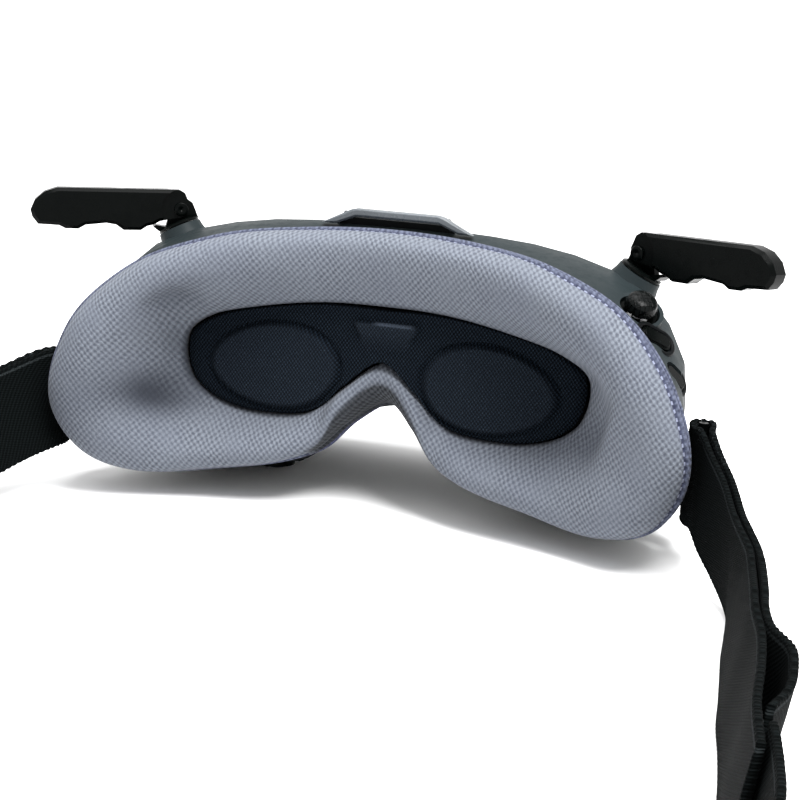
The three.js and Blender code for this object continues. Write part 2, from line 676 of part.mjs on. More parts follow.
/** A band of webbing standing on edge along plan points [x, y, centre height, lean of the top]. */
function webbing(route, thickness, samples) {
  const path = (pick) => new THREE.CatmullRomCurve3(route.map(pick), false, "centripetal");
  const curve = path(([x, y, z]) => v3(x, y, z));
  const leans = path(([x, y, , lean = 0]) => v3(x, y, lean));
  return Array.from({ length: samples + 1 }, (_, i) => {
    const t = i / samples;
    const centre = curve.getPoint(t);
    centre.z = Math.max(centre.z, LOW);
    const along = curve.getTangent(t).setZ(0).normalize();
    const side = v3(along.y, -along.x, 0).multiplyScalar(thickness / 2);
    const lean = leans.getPoint(t).z;
    const height = Math.sqrt(STRAP_WIDTH ** 2 - lean ** 2);
    const up = v3((lean / 2) * Math.sign(centre.x), 0, height / 2);
    return [
      centre.clone().add(side).add(up),
      centre.clone().sub(side).add(up),
      centre.clone().sub(side).sub(up),
      centre.clone().add(side).sub(up),
    ];
  });
}

function band(route, thickness, samples) {
  const rings = webbing(route, thickness, samples);
  const middle = (ring) => ring[0].clone().add(ring[2]).multiplyScalar(0.5);
  return outward(loft(rings, { startCap: middle(rings[0]), endCap: middle(rings[rings.length - 1]) }));
}

const BEND = 2.6; // centre radius of the webbing round the anchor bar

/**
 * Side strap: inner layer forward to the anchor, round its bar, and the outer layer back.
 * Climb holds its height over the surface and its lean at seven places on the way to the anchor.
 */
function sideStrap(climb) {
  const { x, y } = ANCHOR_BAR;
  const [a, b, c, d, e, f, g] = climb.map(([rise, lean]) => [LOW + rise, lean]);
  const inner = [
    [106.8, -166, LOW, 3.4], [105.2, -150, LOW, 3.6], [104.7, -133, LOW, 4], [103.7, -118, LOW, 4.4],
    [102.1, -105, LOW, 4], [101.3, -93, LOW, 3.6], [100.3, -80, ...a], [99.3, -68, ...b],
    [97.8, -55, ...c], [96.1, -43, ...d], [92.2, -31.3, ...e], [87.6, -22, ...f],
    [84.5, -14.6, ...g], [82.5, -8.6, ANCHOR_Z],
  ];
  const bend = [
    [x - BEND, y - 2, ANCHOR_Z], [x - BEND * 0.7, y + BEND * 0.75, ANCHOR_Z], [x, y + BEND, ANCHOR_Z],
    [x + BEND * 0.7, y + BEND * 0.75, ANCHOR_Z], [x + BEND, y - 2, ANCHOR_Z],
  ];
  const outer = [
    [86.7, -8, ANCHOR_Z], [87.1, -13.7, ...g], [89.7, -21, ...f], [94.1, -30.4, ...e],
    [98, -42.4, ...d], [99.8, -54.8, ...c], [101.2, -68, ...b], [102.4, -80, ...a],
    [103.2, -93, LOW, 3.8], [104, -105, LOW, 3.8], [105.6, -114, LOW, 3.8], [109, -122.4, LOW, 4],
    [109.8, -131, LOW, 4], [109.4, -142, LOW, 4], [107.4, -151, LOW, 3.4],
  ];
  return band([...inner, ...bend, ...outer], WEBBING, 96);
}

function backStrap() {
  const back = STRAP_BACK_Y + WEBBING / 2;
  const half = [
    [108.1, -157, LOW, 3.4], [109.4, -169, LOW, 3.4], [111.2, -183, LOW, 1.2], [110.4, -197, LOW],
    [105.4, -208.5, LOW], [95, -217.6, LOW], [79, -224.2, LOW], [58, back - 0.6, LOW], [30, back, LOW],
  ];
  const mirrored = half.slice().reverse().map(([x, y, z, lean]) => [-x, y, z, lean]);
  return band([...half, [0, back, LOW], ...mirrored], WEBBING, 56);
}

/** Anchor hook on the housing's flank: its upright bar goes through the loop of the strap. */
function strapAnchor() {
  const { x, y } = ANCHOR_BAR;
  const under = ANCHOR_Z - STRAP_WIDTH / 2 - 0.4;
  const arm = plateZ(
    [
      [80.2, y + 16], [80.2, y + 4], [x - 1.5, y - 1.5], [x + 1.5, y - 1.5], [x + 1.5, y + 2],
      [83, y + 9], [81.6, y + 16],
    ],
    under - 1.6,
    under,
  );
  return join(
    arm,
    box(80.2, 81.8, y + 8, y + 16, under - 1.6, ANCHOR_Z + 5),
    rod(v3(x, y, under - 1), v3(x, y, ANCHOR_Z + STRAP_WIDTH / 2 - 0.5), 1.3, 16),
  );
}

/** A flat outline of [x, y] points, extruded from z0 to z1. */
function plateZ(points, z0, z1) {
  const shape = new THREE.Shape(points.map(([x, y]) => new THREE.Vector2(x, y)));
  const geometry = new THREE.ExtrudeGeometry(shape, { depth: z1 - z0, bevelEnabled: false });
  return solid(geometry.translate(0, 0, z0));
}

/** Three-bar slider on the back of the strap. */
function strapAdjuster() {
  const back = STRAP_BACK_Y;
  const frame = box(-15, 15, back + 0.4 - 2.2, back + WEBBING + 2, FLOOR_Z + GAP, FLOOR_Z + 29);
  const slot = box(-20, 20, back - GAP, back + WEBBING + GAP, FLOOR_Z - 1, FLOOR_Z + STRAP_WIDTH + 0.6);
  const windows = [-7.5, 7.5].map((x) => box(x - 4, x + 4, back - 5, back + 6, FLOOR_Z + 3, FLOOR_Z + 24));
  return cut(frame, slot, ...windows);
}

// ---- assembly -----------------------------------------------------------------------
const finish = (color, roughness, metalness = 0) =>
  new THREE.MeshStandardMaterial({ color, roughness, metalness });
const SHELL_GREY = finish(0x3a4143, 0.45);
const BLACK = finish(0x101314, 0.4);
const GLOSS = finish(0x08090b, 0.12);
const FOAM = finish(0x8f94a6, 0.95);
const KNIT = finish(0x141a26, 0.9);
const WEB = finish(0x17191b, 0.9);
const STEEL = finish(0xb4b8bb, 0.35, 0.9);
const ALUMINIUM = finish(0x9aa0a4, 0.4, 0.8);
const BOARD = finish(0x12402c, 0.55);
const GLASS = finish(0xbfd3dc, 0.05);
const INNER = finish(0x1d2022, 0.6);

const goggles = new THREE.Group();
const eyeDatum = new THREE.Group();
eyeDatum.position.set(0, EYE_Y, EYE_HEIGHT);
goggles.add(eyeDatum);

function place(name, made, material) {
  const mesh = new THREE.Mesh(geometryOf(made), material);
  mesh.name = name;
  eyeDatum.add(mesh);
  return mesh;
}

/** The wearer's right-hand piece, and a mirrored piece on the left. */
function placePair(name, made, material, other = made) {
  place(name + "_right", made, material);
  place(name + "_left", other, material).scale.x = -1;
}

place("front_shell", cut(frontShell(), turretSocket(false), turretSocket(true)), SHELL_GREY);
place("front_visor", frontVisor(), GLOSS);
place("rear_frame", rearFrame(), INNER);
place("face_foam", faceFoam(), FOAM);
place("lens_cover", lensCover(), KNIT);
place("wear_sensor", wearSensor(), GLOSS);
place("top_guard", topGuard(), SHELL_GREY);
place("vent_grille", ventGrille(), INNER);
SCREW_POSTS.forEach(([x, z], i) => placePair(`frame_screw_${i + 1}`, frameScrew(x, z), STEEL));

placePair("antenna_knuckle", antennaKnuckle(), BLACK);
placePair("hinge_pin", hingePin(), STEEL);
placePair("antenna_blade", antennaBlade(TILT_RIGHT), BLACK, antennaBlade(TILT_LEFT));
placePair("antenna_board", antennaBoard(TILT_RIGHT), BOARD, antennaBoard(TILT_LEFT));

place("joystick_socket", joystickSocket(), BLACK);
place("joystick_gimbal", joystickGimbal(), STEEL);
place("joystick_stem", joystickStem(), STEEL);
place("joystick_cap", joystickCap(), BLACK);
place("back_button", sideButton(BACK_BUTTON), BLACK);
place("shortcut_button", sideButton(SHORTCUT_BUTTON), BLACK);

placePair("lens_carriage", lensCarriage(), INNER);
placePair("lens_barrel", lensBarrel(), INNER);
placePair("eye_lens", eyeLens(), GLASS);
placePair("display_module", displayModule(), GLOSS);
placePair("focus_knob", focusKnob(), BLACK);
place("guide_rod", guideRod(), STEEL);

place("mainboard", mainboard(), BOARD);
place("heatsink", heatsink(), ALUMINIUM);
place("fan_frame", fanFrame(), INNER);
place("fan_rotor", fanRotor(), BLACK);
place("power_port", powerPort(), STEEL);

placePair("strap_anchor", strapAnchor(), BLACK);
const CLIMB_RIGHT = [[0, 3.2], [0, 2.7], [0, 0.4], [0.8, -1.6], [4.6, -0.6], [8.8, 0], [12, 0]];
const CLIMB_LEFT = [[0, 6], [0, 10], [2, 14], [4.4, 17], [7.6, 17], [10.4, 14], [12.2, 5]];
placePair("side_strap", sideStrap(CLIMB_RIGHT), WEB, sideStrap(CLIMB_LEFT));
place("back_strap", backStrap(), WEB);
place("strap_adjuster", strapAdjuster(), BLACK);

export default goggles;
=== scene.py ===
import json
import math

import bpy
import numpy as np
from mathutils import Matrix


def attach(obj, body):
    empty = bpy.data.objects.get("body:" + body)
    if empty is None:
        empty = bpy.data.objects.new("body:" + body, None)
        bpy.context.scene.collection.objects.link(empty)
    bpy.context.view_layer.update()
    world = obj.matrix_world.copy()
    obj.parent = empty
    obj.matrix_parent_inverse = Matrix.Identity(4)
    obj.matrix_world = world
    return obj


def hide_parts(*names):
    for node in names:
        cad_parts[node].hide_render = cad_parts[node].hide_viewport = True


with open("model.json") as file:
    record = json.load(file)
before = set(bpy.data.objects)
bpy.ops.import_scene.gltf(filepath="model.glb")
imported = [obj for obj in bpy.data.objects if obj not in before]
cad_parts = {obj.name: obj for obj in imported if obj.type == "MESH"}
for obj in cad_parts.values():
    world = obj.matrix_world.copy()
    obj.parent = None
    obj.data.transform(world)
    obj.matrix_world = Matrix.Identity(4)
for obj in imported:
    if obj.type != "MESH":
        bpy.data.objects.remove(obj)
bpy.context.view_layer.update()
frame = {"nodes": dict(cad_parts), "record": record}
NODES = frame["nodes"]

MM = 0.001
EYE = np.array([0.0, 74.7, 36.5])  # eye line's place in the row frame
FLOOR_Z = -EYE[2]


# ---- camera -------------------------------------------------------------------------
def make_camera():
    data = bpy.data.cameras.new("camera")
    data.lens = 67.5
    data.sensor_width = 36.0
    data.clip_start = 0.01
    data.clip_end = 20.0
    camera = bpy.data.objects.new("camera", data)
    bpy.context.scene.collection.objects.link(camera)
    right = np.array([0.956, 0.2851, 0.0687])
    back = np.array([0.2667, -0.9427, 0.2004])
    back = back / np.linalg.norm(back)
    right = right - back * (right @ back)
    right = right / np.linalg.norm(right)
    up = np.cross(back, right)
    turn = Matrix([[right[i], up[i], back[i]] for i in range(3)]).to_4x4()
    camera.matrix_world = Matrix.Translation((0.1102, -0.2952, 0.1102)) @ turn
    bpy.context.scene.camera = camera
    bpy.context.scene.view_settings.view_transform = "Standard"


make_camera()


# ---- curves and meshes --------------------------------------------------------------
def row(points):
    """Millimetres from the eye line, as metres in the row frame."""
    return (np.asarray(points, float) + EYE) * MM


def spline(points, closed, places):
    """Centripetal Catmull-Rom through points, at places counted in spans."""
    pts = np.asarray(points, float)
    n = len(pts)
    if not closed:
        pts = np.vstack([2 * pts[0] - pts[1], pts, 2 * pts[-1] - pts[-2]])
    out = []
    for t in places:
        i = int(math.floor(t))
        if closed:
            w = t - i
            quad = [pts[(i + k) % n] for k in (-1, 0, 1, 2)]
        else:
            i = min(i, n - 2)
            w = t - i
            quad = [pts[i + k] for k in range(4)]
        p0, p1, p2, p3 = quad
        d0 = max(np.linalg.norm(p1 - p0), 1e-6) ** 0.5
        d1 = max(np.linalg.norm(p2 - p1), 1e-6) ** 0.5
        d2 = max(np.linalg.norm(p3 - p2), 1e-6) ** 0.5
        m1 = ((p1 - p0) / d0 - (p2 - p0) / (d0 + d1) + (p2 - p1) / d1) * d1
        m2 = ((p2 - p1) / d1 - (p3 - p1) / (d1 + d2) + (p3 - p2) / d2) * d1
        c2 = -3 * p1 + 3 * p2 - 2 * m1 - m2
        c3 = 2 * p1 - 2 * p2 + m1 + m2
        out.append(p1 + m1 * w + c2 * w * w + c3 * w**3)
    return np.array(out)


def mesh_piece(name, verts, faces, body="housing", attributes=None, material=None):
    data = bpy.data.meshes.new(name)
    data.from_pydata([tuple(v) for v in verts], [], faces)
    data.update()
    data.shade_smooth()
    for key, values in (attributes or {}).items():
        layer = data.attributes.new(key, "FLOAT_VECTOR", "POINT")
        layer.data.foreach_set("vector", np.asarray(values, np.float32).ravel())
    piece = bpy.data.objects.new(name, data)
    bpy.context.scene.collection.objects.link(piece)
    if material:
        data.materials.append(material)
    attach(piece, body)
    return piece


def grid_faces(rows, columns, close_rows=False, close_columns=True):
    """Quads of a grid of vertices, row by row."""
    faces = []
    for r in range(rows if close_rows else rows - 1):
        a, b = r * columns, ((r + 1) % rows) * columns
        for i in range(columns if close_columns else columns - 1):
            j = (i + 1) % columns
            faces.append((a + i, b + i, b + j, a + j))
    return faces


def outward(verts, faces):
    """Faces turned so that the closed mesh's volume is positive."""
    v = np.asarray(verts)
    total = 0.0
    for f in faces:
        for k in range(1, len(f) - 1):
            total += np.dot(v[f[0]], np.cross(v[f[k]], v[f[k + 1]]))
    return faces if total > 0 else [tuple(reversed(f)) for f in faces]


def step01(x):
    x = np.clip(x, 0, 1)
    return x * x * (3 - 2 * x)


# ---- materials ----------------------------------------------------------------------
class Nodes:
    """A material's node tree, with short calls for the nodes used here."""

    def __init__(self, name):
        self.material = bpy.data.materials.new(name)
        self.material.use_nodes = True
        self.tree = self.material.node_tree
        self.shader = next(n for n in self.tree.nodes if n.type == "BSDF_PRINCIPLED")

    def new(self, kind, **settings):
        node = self.tree.nodes.new(kind)
        for key, value in settings.items():
            setattr(node, key, value)
        return node

    def feed(self, socket, value):
        if isinstance(value, bpy.types.NodeSocket):
            self.tree.links.new(value, socket)
        else:
            socket.default_value = value

    def math(self, operation, a, b=0.0, c=0.0):
        node = self.new("ShaderNodeMath", operation=operation)
        for socket, value in zip(node.inputs, (a, b, c)):
            self.feed(socket, value)
        return node.outputs[0]

    def ramp(self, value, low, high, to_low=0.0, to_high=1.0, smooth=True):
        node = self.new("ShaderNodeMapRange")
        node.interpolation_type = "SMOOTHSTEP" if smooth else "LINEAR"
        for socket, v in zip(node.inputs[:5], (value, low, high, to_low, to_high)):
            self.feed(socket, v)
        return node.outputs[0]

    def mix(self, share, a, b):
        node = self.new("ShaderNodeMix", data_type="RGBA")
        self.feed(node.inputs["Factor"], share)
        self.feed(node.inputs[6], a if isinstance(a, bpy.types.NodeSocket) else (*a, 1.0))
        self.feed(node.inputs[7], b if isinstance(b, bpy.types.NodeSocket) else (*b, 1.0))
        return node.outputs[2]

    def attribute(self, name):
        source = self.new("ShaderNodeAttribute", attribute_name=name)
        split = self.new("ShaderNodeSeparateXYZ")
        self.tree.links.new(source.outputs["Vector"], split.inputs[0])
        return source.outputs["Vector"], split.outputs

    def place(self):
        return self.new("ShaderNodeTexCoord").outputs["Object"]

    def noise(self, vector, scale, detail=3.0, rough=0.5):
        node = self.new("ShaderNodeTexNoise")
        self.feed(node.inputs["Vector"], vector)
        node.inputs["Scale"].default_value = scale
        node.inputs["Detail"].default_value = detail
        node.inputs["Roughness"].default_value = rough
        return node.outputs["Fac"]

    def cells(self, vector, scale, feature="F1", spread=1.0):
        node = self.new("ShaderNodeTexVoronoi", feature=feature)
        self.feed(node.inputs["Vector"], vector)
        node.inputs["Scale"].default_value = scale
        node.inputs["Randomness"].default_value = spread
        return node.outputs["Distance"]

    def bump(self, height, distance, strength=1.0, under=None):
        node = self.new("ShaderNodeBump")
        node.inputs["Strength"].default_value = strength
        node.inputs["Distance"].default_value = distance
        self.feed(node.inputs["Height"], height)
        if under is not None:
            self.feed(node.inputs["Normal"], under)
        return node.outputs["Normal"]

    def set(self, **sockets):
        names = {"color": "Base Color", "rough": "Roughness", "normal": "Normal", "metal": "Metallic",
                 "specular": "Specular IOR Level", "sheen": "Sheen Weight", "sheen_rough": "Sheen Roughness",
                 "coat": "Coat Weight", "coat_rough": "Coat Roughness", "glass": "Transmission Weight",
                 "ior": "IOR"}
        for key, value in sockets.items():
            if key == "color" and not isinstance(value, bpy.types.NodeSocket):
                value = (*value, 1.0)
            self.feed(self.shader.inputs[names[key]], value)
        return self.material


def plastic(name, color, rough, grain=0.00003, grain_scale=2600.0, specular=0.5, spread=0.08):
    """Moulded plastic: fine spark-eroded grain, uneven gloss and a slow change of tone."""
    n = Nodes(name)
    at = n.place()
    slow = n.noise(at, 60.0, 2.0)
    fine = n.noise(at, grain_scale, 2.0)
    tone = n.ramp(slow, 0.3, 0.7)
    dark = [c * (1 - spread) for c in color]
    light = [min(1.0, c * (1 + spread)) for c in color]
    wear = n.ramp(n.noise(at, 340.0, 4.0, 0.65), 0.4, 0.75, rough - 0.05, rough + 0.09)
    return n.set(color=n.mix(tone, dark, light), rough=wear, normal=n.bump(fine, grain, 0.5),
                 specular=specular)


def metal(name, color, rough):
    n = Nodes(name)
    at = n.place()
    stretched = n.new("ShaderNodeMapping")
    n.feed(stretched.inputs["Vector"], at)
    stretched.inputs["Scale"].default_value = (60.0, 2400.0, 900.0)
    lines = n.noise(stretched.outputs[0], 1.0, 3.0)
    return n.set(color=n.mix(n.ramp(lines, 0.3, 0.7), [c * 0.85 for c in color], color), metal=1.0,
                 rough=n.ramp(lines, 0.2, 0.8, rough, rough + 0.15), normal=n.bump(lines, 0.00001, 0.3))


def board_material():
    n = Nodes("circuit_board")
    at = n.place()
    tracks = n.cells(at, 420.0, "F1", 0.3)
    pads = n.ramp(tracks, 0.12, 0.16, 1.0, 0.0)
    color = n.mix(pads, (0.012, 0.09, 0.055), (0.45, 0.36, 0.2))
    return n.set(color=color, rough=n.ramp(pads, 0.0, 1.0, 0.45, 0.3), normal=n.bump(pads, 0.0001, 0.5))


def glass_material():
    n = Nodes("lens_glass")
    smear = n.noise(n.place(), 90.0, 3.0)
    return n.set(color=(0.95, 0.98, 1.0), glass=1.0, ior=1.52, rough=n.ramp(smear, 0.4, 0.8, 0.0, 0.02))


def stick_material():
    """Glossy rubber with a cross-cut grip, square to the stick."""
    n = Nodes("stick_rubber")
    pitch = 2 * math.pi / 0.0011
    waves = []
    for direction in ((0.865, 0.502, 0.0), (-0.412, 0.709, 0.578)):
        dot = n.new("ShaderNodeVectorMath", operation="DOT_PRODUCT")
        n.feed(dot.inputs[0], n.place())
        dot.inputs[1].default_value = direction
        waves.append(n.math("SINE", n.math("MULTIPLY", dot.outputs["Value"], pitch)))
    grip = n.ramp(n.math("MAXIMUM", waves[0], waves[1]), 0.55, 0.95)
    return n.set(color=n.mix(grip, (0.0026, 0.0032, 0.0032), (0.0006, 0.0008, 0.0008)), rough=0.16,
                 normal=n.bump(grip, 0.0001, 0.5), specular=0.05)


def weave_height(n, u, v, wide, tall):
    """Staggered cells of a knitted mesh, from -1 to 1."""
    across = n.math("COSINE", n.math("MULTIPLY", u, 2 * math.pi / wide))
    along = n.math("COSINE", n.math("MULTIPLY", v, math.pi / tall))
    return n.math("MULTIPLY", across, along)


def cushion_material():
    """Pale spacer mesh with a blue seam, stitches near its edge and a dark lining in the nose arch."""
    n = Nodes("spacer_mesh")
    cloth, (u, v, lining) = n.attribute("cloth")
    _, (along, edge, shade) = n.attribute("edge")
    drift = n.noise(cloth, 0.35, 3.0)
    lean = n.math("ADD", v, n.math("MULTIPLY", u, 0.18))
    lift = n.math("MULTIPLY", drift, 0.9)
    jitter = n.math("MULTIPLY", n.noise(cloth, 0.9, 2.0), 0.7)
    shifted = n.math("ADD", n.math("ADD", u, lift), jitter)
    cell = weave_height(n, shifted, n.math("ADD", lean, lift), 1.5, 0.92)
    cell = n.math("MULTIPLY", cell, n.ramp(n.noise(cloth, 0.13, 2.0), 0.3, 0.7, 0.5, 1.0))
    fuzz = n.noise(cloth, 2.6, 4.0, 0.75)
    light = n.ramp(n.math("ADD", cell, n.math("MULTIPLY", fuzz, 1.9)), -0.1, 1.9)
    body = n.mix(light, (0.045, 0.050, 0.064), (0.122, 0.135, 0.158))
    body = n.mix(n.ramp(n.noise(cloth, 0.06, 2.0), 0.35, 0.7, 0.0, 0.25), body, (0.074, 0.082, 0.106))
    rim = n.ramp(edge, 3.2, 6.6, 1.0, 0.0)
    blue = n.mix(light, (0.014, 0.017, 0.034), (0.062, 0.071, 0.112))
    color = n.mix(n.math("MULTIPLY", rim, 0.8), body, blue)
    dash = n.ramp(n.math("SINE", n.math("MULTIPLY", along, 2 * math.pi / 2.1)), -0.1, 0.35)
    threads = 0.0
    for line in (1.5, 4.3):
        near = n.math("ABSOLUTE", n.math("SUBTRACT", edge, line))
        # painted shade: a dark band along each stitch groove
        color = n.mix(n.ramp(near, 0.3, 0.8, 0.75, 0.0), color, (0.010, 0.012, 0.03))
        thread = n.math("MULTIPLY", n.ramp(near, 0.22, 0.42, 1.0, 0.0), dash)
        color = n.mix(thread, color, (0.145, 0.16, 0.22))
        threads = n.math("ADD", threads, thread)
    inside = n.mix(light, (0.006, 0.007, 0.009), (0.034, 0.037, 0.043))
    color = n.mix(lining, color, inside)
    # painted shade along the opening's rim and in the cushion's hollows
    color = n.mix(shade, color, (0.014, 0.016, 0.022))
    height = n.math("ADD", n.math("MULTIPLY", cell, 0.5), n.math("MULTIPLY", fuzz, 0.35))
    normal = n.bump(n.math("ADD", height, threads), 0.00035, 0.75)
    return n.set(color=color, rough=0.85, normal=normal, sheen=0.04, sheen_rough=0.5, specular=0.12)


def knit_material():
    """Very dark blue knit, with painted glints on its loops."""
    n = Nodes("dark_knit")
    cloth, (u, v, mark) = n.attribute("cloth")
    loops = weave_height(n, u, v, 0.95, 0.62)
    fuzz = n.noise(cloth, 4.0, 3.0, 0.7)
    spark = n.ramp(n.noise(cloth, 2.3, 2.0, 0.8), 0.55, 0.75)
    light = n.ramp(n.math("ADD", loops, n.math("MULTIPLY", fuzz, 0.9)), 0.0, 1.4)
    color = n.mix(light, (0.0006, 0.0010, 0.0018), (0.0062, 0.0105, 0.0165))
    # painted glints: bright specks on the lighter loops
    color = n.mix(n.math("MULTIPLY", n.math("MULTIPLY", spark, light), 0.7), color, (0.03, 0.042, 0.058))
    # paler pads and boss, and the painted highlight along the boss's top edge
    color = n.mix(n.math("MULTIPLY", mark, 0.5), color, (0.085, 0.105, 0.14))
    return n.set(color=color, rough=0.65, sheen=0.004, specular=0.03,
                 normal=n.bump(n.math("ADD", loops, fuzz), 0.00022, 0.8))


def webbing_material():
    """Black ribbed webbing with a pale selvedge thread, and painted glints on a coarse patch at its end."""
    n = Nodes("webbing")
    cloth, (along, high, patch) = n.attribute("cloth")
    lean = n.math("ADD", along, n.math("MULTIPLY", high, 0.6))
    ribs = n.math("SINE", n.math("MULTIPLY", lean, 2 * math.pi / 1.3))
    fill = n.math("SINE", n.math("MULTIPLY", high, 2 * math.pi / 0.75))
    twill = n.math("MULTIPLY", ribs, fill)
    fuzz = n.noise(cloth, 3.0, 4.0, 0.75)
    light = n.ramp(n.math("ADD", twill, n.math("MULTIPLY", fuzz, 1.2)), 0.0, 1.7)
    color = n.mix(light, (0.0003, 0.0006, 0.0006), (0.0026, 0.0036, 0.0038))
    hem = n.ramp(n.math("ABSOLUTE", n.math("SUBTRACT", high, 11.2)), 0.18, 0.5, 1.0, 0.0)
    color = n.mix(n.math("MULTIPLY", hem, n.ramp(fuzz, 0.35, 0.6)), color, (0.016, 0.019, 0.020))
    # painted glints: pale specks on the patch at the strap's end
    strap_glint = n.ramp(n.noise(cloth, 2.0, 3.0, 0.9), 0.55, 0.72)
    color = n.mix(n.math("MULTIPLY", n.math("MULTIPLY", strap_glint, patch), 0.8), color, (0.05, 0.058, 0.062))
    height = n.math("ADD", twill, n.math("MULTIPLY", fuzz, 0.8))
    return n.set(color=color, rough=0.85, specular=0.02, sheen=0.002, normal=n.bump(height, 0.00022, 0.6))


FINISH = {
    "shell": plastic("shell_plastic", (0.0105, 0.0145, 0.0158), 0.5, specular=0.055),
    "visor": plastic("gloss_black", (0.0012, 0.0013, 0.0016), 0.12, 0.000006, 900.0, specular=0.1),
    "inner_plastic": plastic("inner_black", (0.0016, 0.0020, 0.0023), 0.45, specular=0.04),
    "black_plastic": plastic("satin_black", (0.0008, 0.0012, 0.0011), 0.26, 0.000006, 3200.0, specular=0.035),
    "stick_rubber": stick_material(),
    "steel": metal("steel", (0.62, 0.63, 0.64), 0.25),
    "cooler": metal("cooler", (0.6, 0.62, 0.63), 0.35),
    "board": board_material(),
    "lens_glass": glass_material(),
    "cushion": cushion_material(),
    "knit": knit_material(),
    "webbing": webbing_material(),
}
GUARD = plastic("guard_plastic", (0.052, 0.059, 0.066), 0.3, specular=0.35)
GRILLE = plastic("grille_plastic", (0.02, 0.023, 0.025), 0.4, 0.0002, 1100.0, spread=0.6)
PIN = plastic("blackened_pin", (0.0015, 0.002, 0.002), 0.4, specular=0.05)


def dress_cad_nodes():
    """Gives every CAD piece its finish, smooth shading and softened edges."""
    split_only = {"front_shell", "front_visor", "rear_frame", "fan_frame", "lens_carriage_right",
                  "lens_carriage_left", "eye_lens_right", "eye_lens_left"}
    for subpart in frame["record"]["subparts"]:
        node = NODES[subpart["node"]]
        finish = FINISH[subpart["material_slot"]]
        special = {"top_guard": GUARD, "vent_grille": GRILLE, "hinge_pin_right": PIN, "hinge_pin_left": PIN}
        finish = special.get(node.name, finish)
        node.data.materials.clear()
        node.data.materials.append(finish)
        if "custom_normal" in node.data.attributes:
            node.data.attributes.remove(node.data.attributes["custom_normal"])
        node.data.shade_smooth()
        weld = node.modifiers.new("weld", "WELD")
        weld.merge_threshold = 1e-6
        if node.name in split_only:
            split = node.modifiers.new("edges", "EDGE_SPLIT")
            split.split_angle = math.radians(32)
            continue
        bevel = node.modifiers.new("soft_edges", "BEVEL")
        bevel.width = 0.00018
        bevel.segments = 2
        bevel.limit_method = "ANGLE"
        bevel.angle_limit = math.radians(32)
        bevel.harden_normals = True
        bevel.use_clamp_overlap = True


dress_cad_nodes()

# ---- face cushion -------------------------------------------------------------------
# Fourteen stations from the forehead, down the wearer's right side, to the nose.
# Each row: seam x, z, y; crest x, z, y; opening x, z, y.
FACE = np.array([
    [0, 38.9, 3.2, 0, 34, -9, 0, 19.2, -1],
    [24, 37.6, 1.2, 22.6, 33, -12, 17, 18.7, -1.5],
    [45, 34.3, -7.5, 41.5, 29.6, -18.5, 35, 15.8, -3],
    [64.5, 25.6, -14.5, 58.5, 22, -25, 47.5, 12.2, -3],
    [77.6, 11.5, -21.3, 70.8, 8, -29.5, 54.4, 7, -1],
    [83.4, -5, -21.8, 75.5, -6, -30, 55.2, 1, -1],
    [82.3, -16.3, -20.3, 74.2, -15, -28.5, 53, -5.5, -1],
    [76.2, -25.3, -16.5, 68.6, -22.2, -25.5, 48, -9.8, 0],
    [63.5, -30.7, -9, 58.5, -26.6, -19.5, 40, -12.5, 0.6],
    [42, -28.7, -2, 39.5, -23.8, -13, 30, -13, 0.6],
    [22.5, -24.3, 0.5, 23, -20.8, -8.5, 21.4, -12, 0],
    [16, -21.6, 4.5, 15.8, -17.6, -4.8, 16.6, -9.8, -0.6],
    [8.9, -14, 8.8, 10.4, -7, -4.4, 10.6, -3.8, 1.6],
    [0, -9, 14, 0, 0.9, -0.4, 0, 3.6, 2.4],
])
RISE = [(0, 0), (0.08, 0.36), (0.24, 0.68), (0.55, 0.93), (1, 1)]
FALL = [(0.26, 0.06), (0.52, 0.26), (0.76, 0.58), (1, 1)]
PER_SPAN = 15


def face_ring(column, per_span=PER_SPAN):
    half = FACE[:, [column, column + 2, column + 1]]
    mirrored = half[1:-1][::-1] * [-1, 1, 1]
    points = np.vstack([half, mirrored])
    return spline(points, True, np.arange(len(points) * per_span) / per_span)


def blob(points, centre, size, lean=0.0):
    """A soft round hump about a centre, turned by lean in the face's plane."""
    d = points - np.array(centre, float)
    c, s = math.cos(lean), math.sin(lean)
    x, z = d[:, 0] * c + d[:, 2] * s, -d[:, 0] * s + d[:, 2] * c
    return np.exp(-(x / size[0]) ** 2 - (d[:, 1] / size[1]) ** 2 - (z / size[2]) ** 2)


def cushion_sections():
    """Rows of rings from the seam, over the crest, to the opening, with the arc length across each row."""
    seam, crest, opening = face_ring(0), face_ring(3), face_ring(6)
    knots = []
    for (across, toward), a, b in [(k, seam, crest) for k in RISE] + [(k, crest, opening) for k in FALL]:
        share = np.array([across, toward, across])
        knots.append(a + (b - a) * share)
    knots = np.array(knots)
    steps = [12, 8, 6, 6, 6, 6, 6, 6]
    places = [i + k / n for i, n in enumerate(steps) for k in range(n)] + [float(len(steps))]
    rows = np.array([spline(knots[:, i], False, places) for i in range(len(seam))]).transpose(1, 0, 2)
    arc = np.cumsum(np.linalg.norm(np.diff(rows, axis=0), axis=2), axis=0)
    arc = np.vstack([np.zeros(len(seam)), arc])
    return rows, arc, sum(steps[:4]), seam, crest, opening


